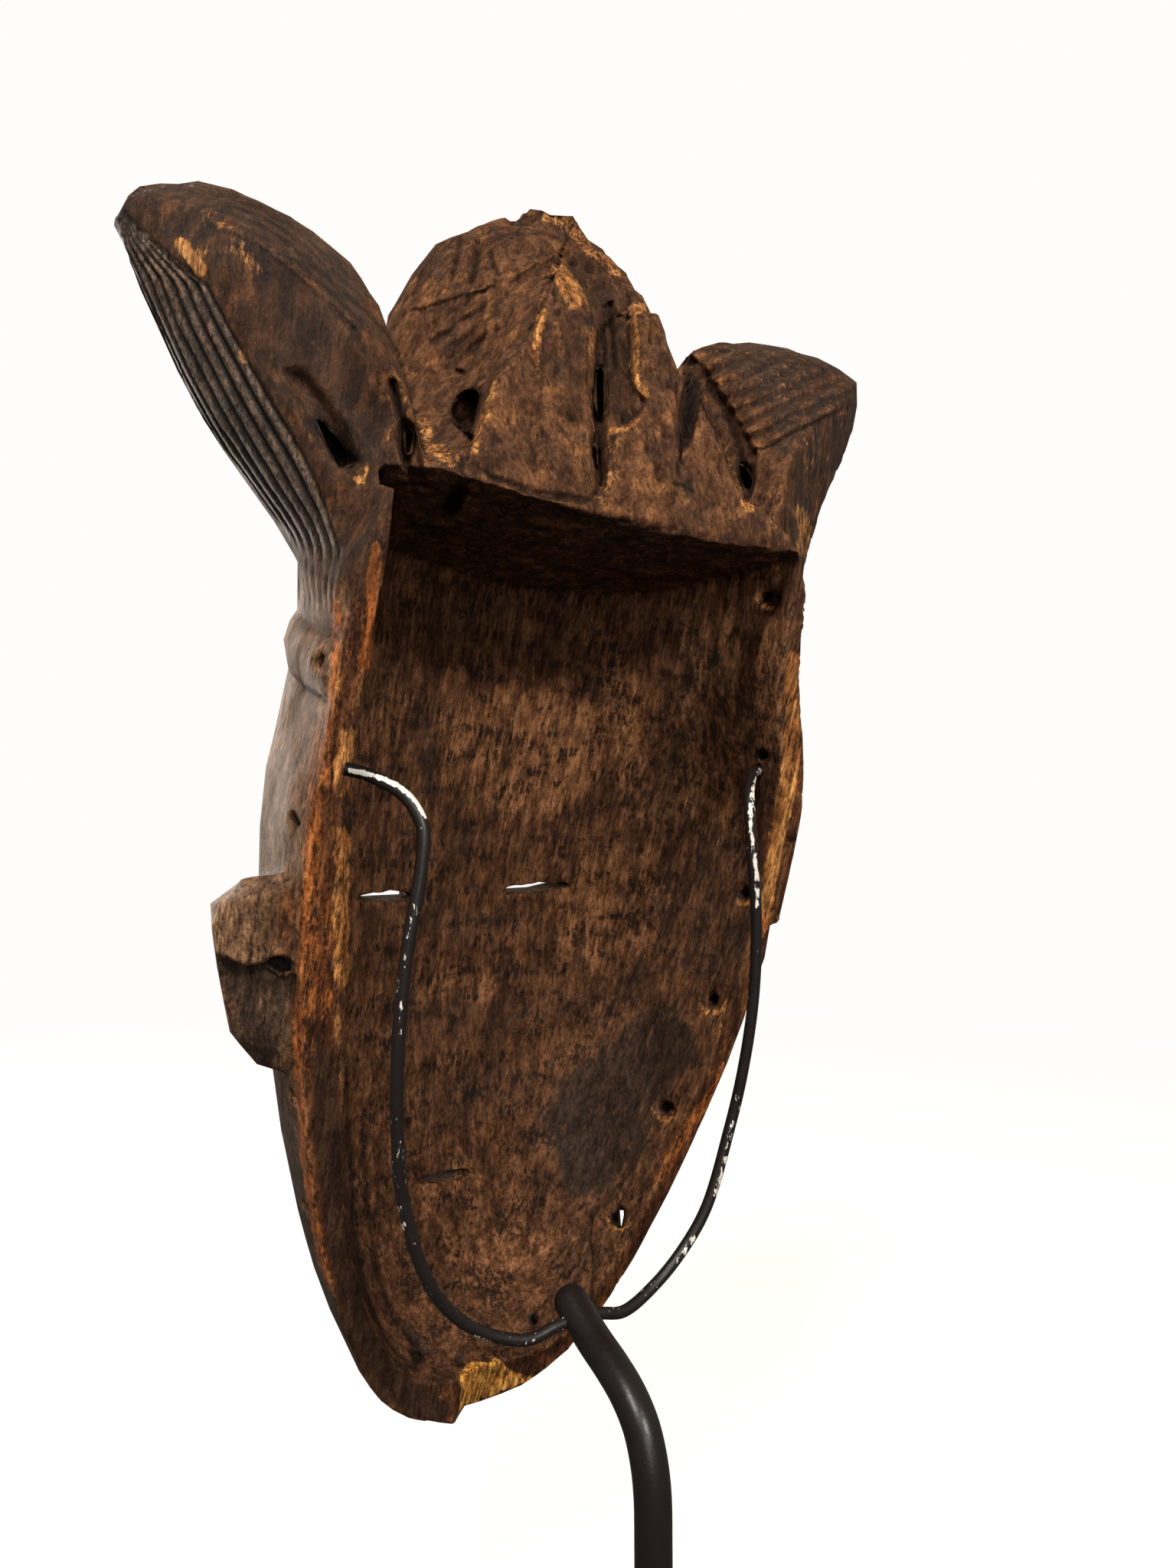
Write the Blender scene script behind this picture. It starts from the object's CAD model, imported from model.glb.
"""Old carved wooden mask on a wire cradle stand: fine relief, materials, light and camera."""
import math

import bmesh
import bpy
import numpy as np
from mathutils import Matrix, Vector, kdtree
from mathutils.bvhtree import BVHTree

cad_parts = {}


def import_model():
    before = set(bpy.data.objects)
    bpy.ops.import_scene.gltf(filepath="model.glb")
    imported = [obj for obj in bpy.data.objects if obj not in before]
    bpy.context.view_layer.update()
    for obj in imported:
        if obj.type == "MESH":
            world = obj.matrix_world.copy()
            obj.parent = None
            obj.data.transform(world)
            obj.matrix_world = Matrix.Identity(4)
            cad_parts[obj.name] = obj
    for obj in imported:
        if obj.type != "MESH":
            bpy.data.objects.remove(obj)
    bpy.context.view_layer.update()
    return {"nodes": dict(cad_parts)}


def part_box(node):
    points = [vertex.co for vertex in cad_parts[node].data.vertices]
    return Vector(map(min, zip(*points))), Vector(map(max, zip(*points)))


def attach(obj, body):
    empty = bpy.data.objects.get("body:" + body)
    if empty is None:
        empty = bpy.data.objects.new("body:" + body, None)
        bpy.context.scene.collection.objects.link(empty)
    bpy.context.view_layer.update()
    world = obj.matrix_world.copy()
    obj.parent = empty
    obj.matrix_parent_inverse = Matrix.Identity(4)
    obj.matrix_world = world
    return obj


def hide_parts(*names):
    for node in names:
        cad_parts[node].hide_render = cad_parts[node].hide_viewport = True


# Camera, fitted to the photograph, in metres, and the photograph's frame in pixels
CAMERA_PLACE = Vector((0.1804, 0.2942, 0.3115))
CAMERA_LOOK = Vector((-0.5446, -0.8387, 0.0))
LENS_MM = 27.04
SENSOR_MM = 36.0
PHOTO_WIDTH = 1536
PHOTO_HEIGHT = 2048
FOCAL_PIXELS = LENS_MM / SENSOR_MM * PHOTO_HEIGHT
AHEAD = CAMERA_LOOK.normalized()
UP = Vector((0, 0, 1))
RIGHT = AHEAD.cross(UP)

# The mask's own frame leans back in the row's frame; its numbers are in mm
LEAN = math.radians(17.8)
MASK_ORIGIN = np.array([0.0, 20.0, 318.0])
MM = 0.001

# Lights: name, place, diameter in metres, power in watts, colour
LIGHT_TARGET = (0, 0, 0.32)
LIGHTS = [
    ("above", (0.85, 0.80, 1.60), 0.35, 23, (1.0, 0.95, 0.87)),
    ("key", (0.07, 1.36, 1.0), 0.18, 15.5, (1.0, 0.95, 0.88)),
    ("fill", (0.45, 1.15, 0.5), 0.5, 3, (1.0, 0.98, 0.95)),
    ("rim_left", (0.35, -1.2, 0.55), 0.8, 7.5, (1.0, 0.86, 0.74)),
]
AMBIENT_ABOVE = 0.34
AMBIENT_BELOW = 0.10
AMBIENT_COLOUR = (1.0, 0.91, 0.80)
BACKGROUND_COLOUR = (1.0, 0.985, 0.965)
FLOOR_COLOUR = (0.6, 0.59, 0.58)
FLOOR_GLOW_COLOUR = (1, 0.99, 0.97)

# Mask mesh
WELD_M = 1e-6
VOXEL_MM = 0.8
SHARP_ANGLE = math.radians(44)
SHARP_KEEP_MM = 1.0
SHARP_FREE_MM = 5.0
RIDGE_STEP_MM = 0.5
RIDGE_ROUNDS = 500
RIDGE_TURN = math.cos(math.radians(60))
RIDGE_REACH_MM = 14.0
SMALL_LOOP_MM = 9.0
SMOOTH_ROUNDS = 150
SMOOTH_SHARE = 0.6
CURVE_ROUNDS = 2
SIGHT_GAP_MM = 0.4
MASK_TRIANGLES = 190000
COARSE_STEP = 0.1
COARSE_LEVELS = [round(0.1 + COARSE_STEP * k, 1) for k in range(10)]

# From here to the countersinks, shapes and marks are placed by the pixel at which the camera sees them

# Deep cuts: outline in pixels, and how far the cut reaches along the line of sight, in mm
CUTS = {
    "left_notch": ([(600, 508), (628, 502), (632, 510), (628, 540), (622, 562), (617, 577),
                    (606, 564), (586, 548), (583, 536), (590, 522)], 14),
    "notch_bottom": ([(586, 536), (600, 546), (616, 556), (620, 566), (617, 577), (606, 564),
                      (588, 549)], 17),
    "cleft_slit": ([(777, 474), (786, 470), (793, 500), (791, 530), (787, 552), (779, 548),
                    (775, 515)], 20),
    "right_slit": ([(893, 500), (911, 492), (918, 510), (911, 550), (902, 580), (890, 586),
                    (886, 560), (887, 525)], 18),
    "valley_end": ([(960, 602), (974, 600), (986, 608), (989, 624), (983, 646), (976, 656),
                    (969, 640)], 12),
    "cleft_hole": ([(816, 532), (823, 546), (821, 557), (811, 556), (810, 545)], 13),
    "ceiling_hole": ([(590, 634), (610, 630), (612, 642), (600, 668), (586, 678), (576, 674),
                      (580, 650)], 12),
    "crevice_knot": ([(526, 552), (540, 556), (544, 584), (536, 606), (528, 592)], 9),
    "tear_hole": ([(690, 1722), (699, 1710), (703, 1722), (700, 1738), (693, 1734)], 7),
    "floor_hole_left": ([(534, 1764), (552, 1762), (555, 1776), (540, 1786)], 6),
    "floor_hole_right": ([(594, 1772), (606, 1768), (608, 1784), (597, 1788)], 5),
    "see_through": ([(806, 1579), (814, 1576), (818, 1590), (814, 1603), (807, 1603)], 45),
    "worm_hole_eye": ([(776, 1138), (784, 1138), (786, 1146), (778, 1148)], 5),
    "worm_hole_top": ([(794, 862), (802, 861), (804, 869), (796, 871)], 5),
    "worm_hole_side": ([(862, 876), (876, 878), (874, 887), (864, 884)], 6),
}

# Tie holes in the right-hand wall, bored along the line of sight: centre and radius in pixels, depth in mm
BORES = [(1004, 780, 9), (974, 1168, 8), (932, 1306, 9), (869, 1446, 10), (806, 1591, 11), (996, 986, 9)]
BORE_DEPTH_MM = 7
BORE_SIDES = 10

# Cutters start this far in front of the surface, follow its depth within a range, and taper to a share
CUT_LEAD_MM = 12
CUT_RANGE_MM = 7
CUT_TAPER = 0.72

# Hollows pressed along the line of sight: outline, depth in mm, soft edge in pixels
SINKS = [
    ([(788, 428), (806, 410), (824, 408), (826, 440), (822, 480), (829, 508), (843, 522), (832, 547),
      (803, 562), (796, 600), (787, 640), (778, 648), (773, 600), (774, 540), (777, 480), (780, 440)],
     3.5, 9),
    ([(728, 350), (738, 330), (772, 346), (800, 374), (806, 420), (800, 460), (790, 540), (780, 620),
      (776, 540), (777, 425), (764, 388), (744, 360)], 3.0, 26),
    ([(376, 486), (392, 484), (420, 516), (446, 556), (466, 604), (455, 612), (430, 594), (408, 560),
      (392, 530)], 3.0, 20),
    ([(894, 462), (918, 476), (958, 540), (990, 596), (980, 640), (966, 636), (940, 582), (914, 520)],
     4.0, 8),
    ([(664, 284), (672, 282), (682, 290), (676, 302), (668, 298)], 2.5, 5),
    ([(528, 548), (544, 556), (548, 590), (560, 640), (536, 636), (524, 590)], 3.5, 8),
    ([(612, 646), (640, 640), (740, 664), (860, 690), (860, 704), (740, 684), (620, 664)], 2.0, 14),
]

# One-sided steps: line, depth in mm on its right-hand side (on its left where negative), fading in pixels
STEPS = [
    ([(616, 580), (630, 528), (645, 500), (676, 463), (705, 420), (728, 352)], -5.5, 90),
    ([(548, 402), (600, 384), (648, 370), (700, 344), (726, 334)], 1.3, 50),
    ([(884, 446), (891, 500), (886, 578), (880, 640)], -2.5, 30),
    ([(996, 584), (1040, 560), (1090, 536), (1118, 522)], 1.8, 40),
    ([(824, 402), (829, 450), (830, 500)], 2.5, 50),
    ([(775, 640), (776, 560), (776, 470), (772, 400), (757, 368), (738, 345)], 3.2, 60),
    ([(700, 420), (704, 480), (698, 560)], 0.8, 24),
    ([(303, 300), (345, 322), (400, 366), (460, 440), (500, 520), (520, 600)], -1.0, 40),
]

# The worn top of the crest ends at this line
CREST_LINE = [(598, 290), (627, 283), (638, 279), (656, 279), (665, 289), (677, 289), (682, 279), (694, 273),
              (708, 275), (721, 282), (748, 282), (761, 293), (779, 307), (783, 318), (802, 336), (820, 347),
              (833, 369), (857, 401), (886, 448)]

# Grooves: line, half width in pixels, depth in mm
GROOVES = [
    ([(796, 398), (799, 440), (802, 482)], 6, 3.0),
    ([(790, 400), (788, 440), (790, 470)], 4, 2.0),
    ([(782, 592), (785, 634)], 6, 2.5),
    ([(676, 640), (714, 650), (766, 656)], 5, 1.2),
    ([(616, 606), (650, 626), (700, 642), (770, 652)], 6, 1.0),
    ([(600, 310), (597, 340), (590, 366)], 7, 2.0),
    ([(624, 318), (622, 344), (614, 366)], 9, 2.5),
    ([(640, 330), (644, 346), (650, 358)], 6, 1.4),
    ([(560, 330), (552, 356), (540, 384)], 6, 1.2),
    ([(532, 344), (526, 364), (520, 384)], 5, 1.0),
    ([(512, 500), (524, 550), (530, 610)], 9, 3.0),
    ([(596, 482), (606, 488)], 5, 2.0),
    ([(924, 500), (944, 530), (960, 570), (972, 620)], 10, 2.5),
    ([(452, 1398), (455, 1480), (462, 1580), (470, 1650), (482, 1705), (506, 1755), (545, 1790)], 7, 1.4),
    ([(472, 1480), (482, 1590), (494, 1670), (518, 1730), (556, 1768)], 9, 1.0),
    ([(772, 1588), (770, 1620), (775, 1650), (771, 1702)], 3.5, 1.6),
    ([(1030, 1098), (1040, 1096)], 5, 2.5),
    ([(880, 632), (896, 636), (906, 644)], 4, 1.0),
    ([(692, 690), (716, 692)], 6, 2.0),
    ([(800, 706), (836, 703)], 6, 2.0),
    ([(920, 722), (952, 720)], 5, 2.0),
]

# Fine lines that follow the left lobe's upper outline: the outline, and how far below it they run, in pixels
LOBE_TOP_LINE = [(300, 250), (345, 266), (380, 285), (420, 317), (460, 352), (498, 388)]
LOBE_TOP_OFFSETS = [9, 18, 29, 41, 55]
LOBE_TOP_LINES = [[(u - 0.62 * offset, v + 0.78 * offset) for u, v in LOBE_TOP_LINE]
                  for offset in LOBE_TOP_OFFSETS]

# Fields of parallel ribs: outline, slope of the ribs, pitch in pixels, depth in mm, how far wear broke them
RIB_FIELDS = [
    ([(548, 408), (600, 390), (704, 346), (728, 352), (704, 416), (646, 496), (606, 500), (566, 470)],
     -0.62, 19, 1.8, 1.0),
    ([(908, 462), (960, 454), (1064, 464), (1122, 500), (1122, 524), (1040, 564), (1000, 584), (980, 580),
      (950, 530)], -0.46, 20, 2.0, 0.25),
    ([(516, 386), (540, 340), (570, 318), (560, 372), (536, 400)], -1.4, 10, 0.8, 0.6),
]

# Worn pale and golden wood: line, half width in pixels, strength
GOLD_LINES = [
    ([(728, 358), (742, 370), (752, 392)], 17, 1.0),
    ([(708, 408), (702, 440), (700, 470)], 9, 0.9),
    ([(700, 470), (706, 540), (700, 600)], 7, 0.5),
    ([(648, 500), (634, 540), (620, 578), (620, 590)], 7, 0.8),
    ([(774, 430), (776, 490), (775, 560), (774, 640)], 4, 0.7),
    ([(826, 404), (829, 450), (829, 500), (842, 516)], 9, 0.9),
    ([(826, 404), (846, 401), (868, 406)], 9, 0.9),
    ([(770, 316), (800, 346), (826, 356), (850, 384)], 16, 0.8),
    ([(716, 284), (740, 288), (762, 318), (776, 330)], 12, 0.8),
    ([(690, 280), (712, 290)], 8, 0.5),
    ([(800, 563), (816, 560), (832, 549)], 6, 1.0),
    ([(800, 572), (800, 620), (786, 650)], 12, 0.6),
    ([(808, 620), (816, 600)], 14, 0.4),
    ([(550, 556), (560, 586), (590, 600)], 16, 0.8),
    ([(526, 510), (536, 540), (546, 580)], 7, 0.5),
    ([(972, 656), (980, 664)], 9, 1.0),
    ([(1044, 670), (1052, 690), (1048, 720)], 13, 0.8),
    ([(236, 318), (250, 336), (262, 352)], 12, 1.0),
    ([(310, 328), (326, 340), (336, 352)], 10, 0.7),
    ([(262, 278), (300, 300), (330, 320)], 18, 0.5),
    ([(255, 330), (290, 326), (320, 330)], 12, 0.5),
    ([(152, 272), (156, 288)], 9, 0.7),
    ([(314, 462), (318, 470)], 8, 0.9),
    ([(366, 556), (404, 614), (432, 674)], 7, 0.5),
    ([(462, 624), (474, 630), (478, 612)], 5, 1.0),
    ([(500, 500), (512, 530), (506, 600)], 12, 0.4),
    ([(444, 850), (440, 900), (434, 940)], 6, 0.9),
    ([(472, 870), (468, 920)], 6, 0.9),
    ([(454, 960), (448, 1000), (446, 1030)], 16, 1.0),
    ([(446, 1090), (446, 1180), (446, 1280)], 14, 1.05),
    ([(444, 1280), (440, 1360), (442, 1400)], 9, 0.7),
    ([(1036, 860), (1036, 980), (1022, 1060)], 16, 1.05),
    ([(1020, 1060), (1008, 1130), (1000, 1190)], 12, 1.15),
    ([(500, 1760), (520, 1784), (540, 1796)], 7, 0.5),
    ([(576, 1826), (596, 1812)], 5, 0.7),
    ([(644, 520), (650, 580), (646, 620)], 8, 0.3),
    ([(850, 420), (858, 500), (856, 600)], 10, 0.3),
    ([(900, 470), (936, 560), (966, 636)], 4, 0.6),
    ([(990, 560), (1040, 545)], 6, 0.5),
    ([(950, 480), (1040, 500), (1100, 530)], 50, 0.44),
    ([(1060, 580), (1080, 640)], 50, 0.42),
    ([(560, 384), (600, 372)], 10, 0.4),
]

# Worn orange edges: line, half width in pixels, strength
RUST_LINES = [
    ([(440, 790), (441, 850), (433, 930), (413, 1000), (404, 1100), (396, 1200), (389, 1320), (389, 1400),
      (396, 1500), (411, 1600), (428, 1680)], 8, 1.0),
    ([(492, 716), (484, 800), (474, 870)], 10, 1.0),
    ([(460, 790), (452, 860)], 12, 0.5),
    ([(424, 950), (420, 1050)], 18, 0.6),
    ([(412, 1080), (414, 1200), (418, 1320)], 24, 0.7),
    ([(408, 1320), (410, 1400)], 22, 0.5),
    ([(268, 1180), (278, 1260), (298, 1345), (308, 1380)], 7, 0.8),
    ([(1012, 1090), (1002, 1180), (984, 1330), (936, 1420), (900, 1470), (860, 1540)], 10, 0.8),
    ([(1040, 1010), (1046, 1080)], 6, 0.5),
    ([(1050, 580), (1100, 534)], 12, 0.4),
]

# Sooty brown stretches of the rim, lobes and crest, in the same way
SOOT_LINES = [
    ([(798, 412), (801, 470), (798, 530)], 26, 0.72),
    ([(784, 330), (794, 384)], 14, 0.5),
    ([(788, 560), (783, 630)], 9, 0.7),
    ([(901, 480), (904, 520), (896, 575)], 10, 1.0),
    ([(424, 1390), (428, 1480), (440, 1580), (456, 1680), (484, 1760), (530, 1815), (570, 1840)], 26, 0.9),
    ([(427, 1060), (422, 1180), (419, 1290)], 9, 0.6),
    ([(415, 1290), (414, 1400), (424, 1560)], 5, 0.8),
    ([(466, 800), (452, 900)], 12, 0.5),
    ([(748, 420), (750, 480), (748, 540)], 22, 0.6),
    ([(670, 560), (668, 620)], 20, 0.35),
    ([(852, 440), (856, 520)], 14, 0.4),
    ([(900, 470), (940, 530), (975, 600)], 12, 0.5),
    ([(605, 520), (612, 556)], 14, 0.4),
    ([(560, 1842), (500, 1800), (464, 1720)], 30, 0.9),
    ([(250, 430), (330, 560), (400, 680)], 6, 0.4),
    ([(340, 300), (400, 340), (470, 420)], 16, 0.6),
]

# Tarred and smoked areas of the hollow: outline, soft edge in pixels, strength
TAR_AREAS = [
    ([(868, 800), (900, 782), (930, 792), (966, 850), (1000, 900), (1000, 960), (980, 1010), (972, 1090),
      (958, 1150), (905, 1200), (850, 1300), (800, 1350), (796, 1290), (836, 1180), (860, 1060), (850, 960),
      (866, 880)], 70, 0.56),
    ([(890, 800), (925, 790), (950, 850), (990, 900), (990, 960), (940, 980), (910, 1060), (880, 1000),
      (884, 900)], 50, 0.60),
    ([(890, 1180), (950, 1170), (1000, 1200), (985, 1262), (905, 1290), (870, 1252)], 40, 0.55),
    ([(842, 1300), (890, 1310), (925, 1350), (920, 1390), (880, 1430), (850, 1500), (806, 1560), (766, 1575),
      (720, 1520), (700, 1470), (720, 1410), (760, 1372), (800, 1352)], 60, 0.80),
    ([(800, 1440), (850, 1440), (800, 1560), (740, 1568), (722, 1500)], 30, 0.85),
    ([(478, 1168), (560, 1166), (640, 1196), (700, 1190), (690, 1214), (560, 1226), (478, 1210)], 24, 0.5),
    ([(510, 1290), (640, 1300), (760, 1300), (700, 1340), (600, 1370), (510, 1370)], 40, 0.5),
    ([(540, 1420), (620, 1390), (700, 1390), (740, 1360), (700, 1430), (620, 1470), (540, 1490)], 30, 0.5),
    ([(484, 1060), (560, 1050), (640, 1090), (600, 1130), (500, 1130)], 40, 0.4),
    ([(530, 950), (566, 940), (572, 1040), (540, 1050)], 20, 0.5),
    ([(720, 1610), (800, 1600), (790, 1660), (740, 1680)], 30, 0.4),
]

# Rounder spots: centre and radii in pixels, strength
DARK_PATCHES = [
    (366, 1262, 24, 14, 1.0), (560, 640, 60, 40, 0.4), (556, 1000, 10, 50, 0.7), (830, 700, 60, 14, 0.5),
]
TAN_PATCHES = [
    (690, 980, 150, 110, 0.9), (810, 930, 34, 70, 0.9), (770, 1190, 60, 90, 0.7), (560, 1560, 110, 60, 0.5),
    (640, 1640, 130, 70, 0.5), (1010, 880, 30, 130, 0.8), (600, 1290, 90, 30, 0.6), (1000, 760, 30, 60, 0.6),
    (930, 1080, 30, 60, 0.5), (560, 940, 70, 60, 0.4), (925, 930, 60, 190, 0.9), (840, 1160, 50, 120, 0.6),
]

# Chipped paint on the wire: line, half width in pixels, strength
CHIP_LINES = [
    ([(458, 1006), (492, 1014), (520, 1026), (540, 1042), (556, 1066)], 5, 1.25),
    ([(556, 1090), (554, 1150)], 4, 0.6),
    ([(540, 1180), (529, 1240), (525, 1300), (522, 1350)], 4, 0.8),
    ([(520, 1500), (521, 1512)], 5, 0.9),
    ([(521, 1576), (529, 1606), (543, 1630)], 5, 0.8),
    ([(616, 1744), (640, 1754)], 5, 0.9),
    ([(994, 1002), (984, 1030), (980, 1062), (983, 1100), (988, 1140), (990, 1186)], 5, 1.0),
    ([(956, 1464), (948, 1510), (934, 1562)], 5, 0.9),
    ([(906, 1616), (884, 1648)], 6, 0.9),
]

# The fresh break at the chin
FRESH_OUTLINE = [(600, 1792), (612, 1780), (650, 1775), (668, 1788), (702, 1800), (694, 1816), (652, 1824),
                 (628, 1836), (610, 1852), (600, 1846)]

# Countersunk tie holes in the right-hand wall: centre and radius in pixels
COUNTERSINKS = [(1004, 780, 18), (974, 1168, 16), (932, 1306, 21), (869, 1446, 20), (808, 1591, 18)]
COUNTERSINK_DEPTH_MM = 1.6

# In the mask's own frame, in mm: where the crown, lobes and ears begin, and the extent of the hollow
CROWN_Z = (36, 46)
LOBE_X = 60
EAR_X = (77.5, 79)
HOLLOW_AXIS_Y = -22
HOLLOW_AXIS_Z = (-200, 44)
HOLLOW_Z = (-216, 78)
RIM_HALF_WIDTH = 82
RIM_LENGTH = 196
RIM_TURN_Z = -30

# Side lobes: the two long edges of the ribbed side, from root to tip, as (Y, Z) in the mask's frame
LOBE_BACK_EDGE = [(-7, 46), (-18, 60), (-28, 82), (-38, 103), (-58, 117)]
LOBE_FRONT_EDGE = [(-62, 44), (-64, 62), (-67, 82), (-66, 102), (-62, 115)]
LOBE_RIBS = 10
LOBE_RIB_DEPTH_MM = 1.1

# Stand, in mm in the standing frame, relative to the mask's origin
WIRE_DIAMETER = 3.5
WIRE_SIDES = 24
ROD_DIAMETER = 10.0
ROD_SIDES = 32
WIRE_LEFT = [
    (73, -14, -2), (67, -11, -3), (62.5, -6.5, -5), (57, -1, -9.5), (54, 3, -17), (54.5, 3.4, -28),
    (57.5, 1.8, -48), (58.8, -1, -72), (57.5, -4.5, -95), (54.5, -7.7, -114), (47, -9.6, -137),
    (38.5, -11, -149), (28, -11, -157), (16, -9.2, -160.8), (7, -8.6, -159),
]
ROD_EYE = (0, -8.5, -158.5)
ROD_ROUTE = [
    (0, -12.5, -155.5), (0, -1, -161.5), (0, 8.6, -165.5), (0, 15.9, -169.5), (0, 21.7, -175),
    (0, 25, -181.5), (0, 27, -190), (0, 27.5, -205),
]
ROD_END_Z = 10.3

# Side carving: pitch of the neck folds, and the ridge on the back of the ears as (distance from middle, Z)
FOLD_PITCH_MM = 4.4
EAR_ARCH = [(78, -60), (79.2, -56), (80.6, -54.6), (83.3, -54.8), (85.3, -57.6), (89, -59.6),
            (92.7, -58.4), (99, -57)]


def smooth(start, end, value):
    t = np.clip((value - start) / (end - start), 0, 1)
    return t * t * (3 - 2 * t)


def bell(distance, width):
    return np.exp(-(distance / width) ** 2)


def lean_back(vectors):
    """Turn vectors from the row's frame into the mask's."""
    x, y, z = vectors.T
    c, s = math.cos(LEAN), math.sin(LEAN)
    return np.stack([x, c * y - s * z, s * y + c * z], 1)


def to_mask(points):
    """Row frame in metres to mask frame in mm."""
    return lean_back(points / MM - MASK_ORIGIN)


def to_row(points):
    """Mask frame in mm to row frame in metres."""
    x, y, z = points.T
    c, s = math.cos(LEAN), math.sin(LEAN)
    return (np.stack([x, c * y + s * z, c * z - s * y], 1) + MASK_ORIGIN) * MM


def lattice(ix, iy, iz, seed):
    """A random value from 0 to 1 at each whole-number place."""
    n = (ix * 374761393 + iy * 668265263 + iz * 1442695041 + seed * 1274126177) & 0xFFFFFFFF
    n = ((n ^ (n >> 13)) * 1274126177) & 0xFFFFFFFF
    n = ((n ^ (n >> 15)) * 668265263) & 0xFFFFFFFF
    return ((n ^ (n >> 16)) & 0xFFFF) / 65535.0


def noise(points, size, seed):
    """Smooth value noise from -1 to 1; size is the cell in mm along each axis."""
    q = points / np.asarray(size, float)
    cell = np.floor(q).astype(np.int64)
    f = q - cell
    f = f * f * (3 - 2 * f)
    total = 0.0
    for corner in range(8):
        step = np.array([corner & 1, corner >> 1 & 1, corner >> 2])
        share = np.prod(np.where(step, f, 1 - f), axis=1)
        total = total + share * lattice(*(cell + step).T, seed)
    return 2 * total - 1


def arrays(mesh):
    count = len(mesh.vertices)
    points = np.empty(count * 3)
    mesh.vertices.foreach_get("co", points)
    normals = np.empty(count * 3)
    mesh.vertices.foreach_get("normal", normals)
    edges = np.empty(len(mesh.edges) * 2, int)
    mesh.edges.foreach_get("vertices", edges)
    return points.reshape(-1, 3), normals.reshape(-1, 3), edges.reshape(-1, 2)


def neighbour_mean(values, edges, degree):
    a, b = edges.T
    count = len(values)
    sums = [np.bincount(a, column[b], count) + np.bincount(b, column[a], count) for column in values.T]
    return np.stack(sums, 1) / degree[:, None]


def neighbour_counts(edges, count):
    return np.maximum(np.bincount(edges.ravel(), minlength=count), 1)


def relax(points, edges, share, rounds):
    """Draw points towards the mean of their neighbours, in place."""
    degree = neighbour_counts(edges, len(points))
    for _ in range(rounds):
        points += share * (neighbour_mean(points, edges, degree) - points)


def welded(mesh):
    """A copy of a mesh for editing, with its doubled corners joined."""
    work = bmesh.new()
    work.from_mesh(mesh)
    bmesh.ops.remove_doubles(work, verts=work.verts, dist=WELD_M)
    return work


def sharp_ridges(mesh):
    """Points along a mesh's sharp edges, in metres, their links, and 1 where they may be rounded."""
    work = welded(mesh)
    sharp = [e for e in work.edges if len(e.link_faces) == 2 and e.calc_face_angle(0) >= SHARP_ANGLE]
    ways = {}
    for a, b in (edge.verts for edge in sharp):
        ways.setdefault(a, []).append(b)
        ways.setdefault(b, []).append(a)
    index = {vert: k for k, vert in enumerate(ways)}
    places = [np.array(vert.co) for vert in ways]
    links = []
    for a, b in (edge.verts for edge in sharp):
        count = max(1, round((b.co - a.co).length / (RIDGE_STEP_MM * MM)))
        chain = [index[a], *range(len(places), len(places) + count - 1), index[b]]
        places += [np.array(a.co.lerp(b.co, k / count)) for k in range(1, count)]
        links += zip(chain, chain[1:])
    free = np.ones((len(places), 1))
    held = small_loops(ways)
    for vert, others in ways.items():
        out = [(other.co - vert.co).normalized() for other in others]
        if len(out) != 2 or -out[0].dot(out[1]) < RIDGE_TURN or vert in held:
            free[index[vert]] = 0
    work.free()
    return np.array(places), np.array(links), free


def small_loops(ways):
    """The corners of sharp edges that run around something small, such as a hole."""
    held = set()
    rest = dict.fromkeys(ways)
    while rest:
        group = [rest.popitem()[0]]
        for vert in group:
            for other in ways[vert]:
                if other in rest:
                    del rest[other]
                    group.append(other)
        places = np.array([vert.co for vert in group])
        if np.ptp(places, axis=0).max() < SMALL_LOOP_MM * MM:
            held.update(group)
    return held


def nearest(points, targets):
    """For each point the index of the nearest target, and its distance in mm."""
    tree = kdtree.KDTree(len(targets))
    for index, target in enumerate(targets):
        tree.insert(target, index)
    tree.balance()
    found = [tree.find(p)[1:] for p in points.tolist()]
    return np.array([f[0] for f in found]), np.array([f[1] for f in found]) / MM


def settle(piece):
    """Apply the piece's modifiers."""
    graph = bpy.context.evaluated_depsgraph_get()
    mesh = bpy.data.meshes.new_from_object(piece.evaluated_get(graph))
    piece.modifiers.clear()
    old = piece.data
    piece.data = mesh
    bpy.data.meshes.remove(old)


def new_piece(name, mesh):
    piece = bpy.data.objects.new(name, mesh)
    bpy.context.scene.collection.objects.link(piece)
    return piece


def shade_smooth(mesh):
    mesh.polygons.foreach_set("use_smooth", np.ones(len(mesh.polygons), bool))
    mesh.update()


def move_to(mesh, points):
    mesh.vertices.foreach_set("co", points.ravel())
    mesh.update()


def solid(name, rings, triangles=False):
    """A closed piece around a row of rings of points, with flat ends."""
    work = bmesh.new()
    rings = [[work.verts.new(place) for place in ring] for ring in rings]
    count = len(rings[0])
    for a, b in zip(rings, rings[1:]):
        for k in range(count):
            work.faces.new((a[k], a[(k + 1) % count], b[(k + 1) % count], b[k]))
    work.faces.new(rings[0])
    work.faces.new(rings[-1])
    if triangles:
        bmesh.ops.triangulate(work, faces=work.faces)
    bmesh.ops.recalc_face_normals(work, faces=work.faces)
    mesh = bpy.data.meshes.new(name)
    work.to_mesh(mesh)
    work.free()
    return new_piece(name, mesh)


def photo_place(points):
    """The pixel at which the camera sees each point."""
    away = points - np.array(CAMERA_PLACE)
    depth = away @ np.array(AHEAD)
    across = PHOTO_WIDTH / 2 + FOCAL_PIXELS * (away @ np.array(RIGHT)) / depth
    return np.stack([across, PHOTO_HEIGHT / 2 - FOCAL_PIXELS * away[:, 2] / depth], 1)


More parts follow.
